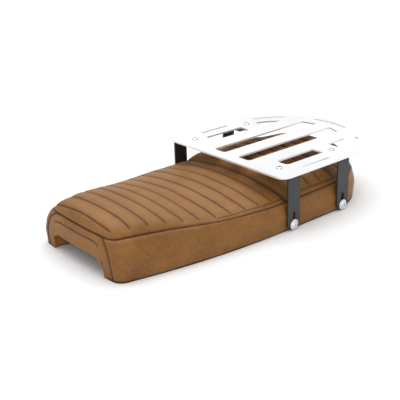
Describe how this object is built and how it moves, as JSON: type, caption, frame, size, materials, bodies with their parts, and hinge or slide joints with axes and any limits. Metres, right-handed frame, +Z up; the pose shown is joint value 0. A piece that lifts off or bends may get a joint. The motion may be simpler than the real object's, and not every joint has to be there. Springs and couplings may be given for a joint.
{
  "type": "motorcycle bench seat with luggage rack",
  "caption": "Ribbed leather motorcycle bench seat with a raised tail, and a slotted flat luggage rack bolted to its sides on bent flat-bar straps.",
  "frame": {"origin": "on the floor plane that the seat pan's rim stands on, under the centre of the whole object's box", "axes": "+Z up, -Y towards the handlebars (seat nose), +Y towards the tail, +X towards the rider's left"},
  "size_m": [0.2964, 0.5848, 0.0973],
  "materials": {
    "leather": "satin, fine grain",
    "foam": "open-cell foam",
    "pan_plastic": "moulded, fine texture",
    "black_rubber": "matt",
    "zinc_steel": "zinc plated",
    "bright_bolts": "polished stainless",
    "white_aluminium": "bright, fine brushed",
    "black_powder_coat": "satin powder coat"
  },
  "bodies": {
    "seat": {"backing_strip_left": "zinc_steel", "backing_strip_right": "zinc_steel", "cover_staples": "zinc_steel", "edge_trim": "black_rubber", "front_cover": "leather", "front_foam": "foam", "mounting_studs": "zinc_steel", "nose_panel": "leather", "pan_buffers": "black_rubber", "rear_cover": "leather", "rear_foam": "foam", "seat_pan": "pan_plastic", "side_bolts": "bright_bolts", "side_inserts": "zinc_steel", "side_panel_left": "leather", "side_panel_right": "leather", "side_washers": "bright_bolts", "stud_plate_front": "zinc_steel", "stud_plate_rear": "zinc_steel"},
    "rack": {"rack_plate": "white_aluminium", "front_strap_left": "black_powder_coat", "front_strap_right": "black_powder_coat", "rear_strap_left": "black_powder_coat", "rear_strap_right": "black_powder_coat", "rack_bolts": "bright_bolts", "rack_nuts": "bright_bolts"}
  },
  "joints": [
    {"name": "rack_height", "type": "slide", "parent": "seat", "child": "rack", "axis": [0, 0, 1], "range_m": [-0.007, 0]}
  ]
}
